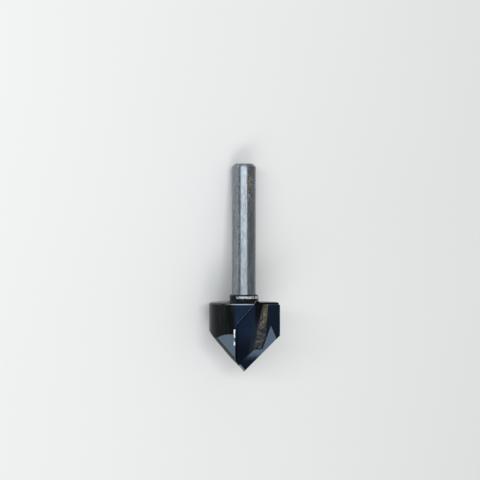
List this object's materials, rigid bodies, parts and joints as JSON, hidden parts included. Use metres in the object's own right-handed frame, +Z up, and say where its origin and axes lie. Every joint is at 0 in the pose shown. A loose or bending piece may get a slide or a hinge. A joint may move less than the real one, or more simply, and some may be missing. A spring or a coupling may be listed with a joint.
{
  "type": "v groove router bit",
  "caption": "Router bit with a short round head ground to a right-angled point, one brazed carbide cutting plate beside an open chip gullet, and a plain round shank.",
  "frame": {"origin": "on the floor below the middle of the bounding box of the bit as it lies", "axes": "+Z up; the bit lies along Y with its shank end towards +Y and its point towards -Y, the axis sloping up towards the point; the gullet faces up"},
  "size_m": [0.0184, 0.0544, 0.0177],
  "materials": {
    "steel_body": "bright ground shank, head and neck coated gloss black, relief flats ground bare",
    "carbide_tip": "ground cemented carbide, dark grey",
    "braze_joint": "solidified braze, golden to brown"
  },
  "bodies": {
    "root": {"steel_body": "steel_body", "carbide_tip": "carbide_tip", "braze_joint": "braze_joint"}
  },
  "joints": []
}
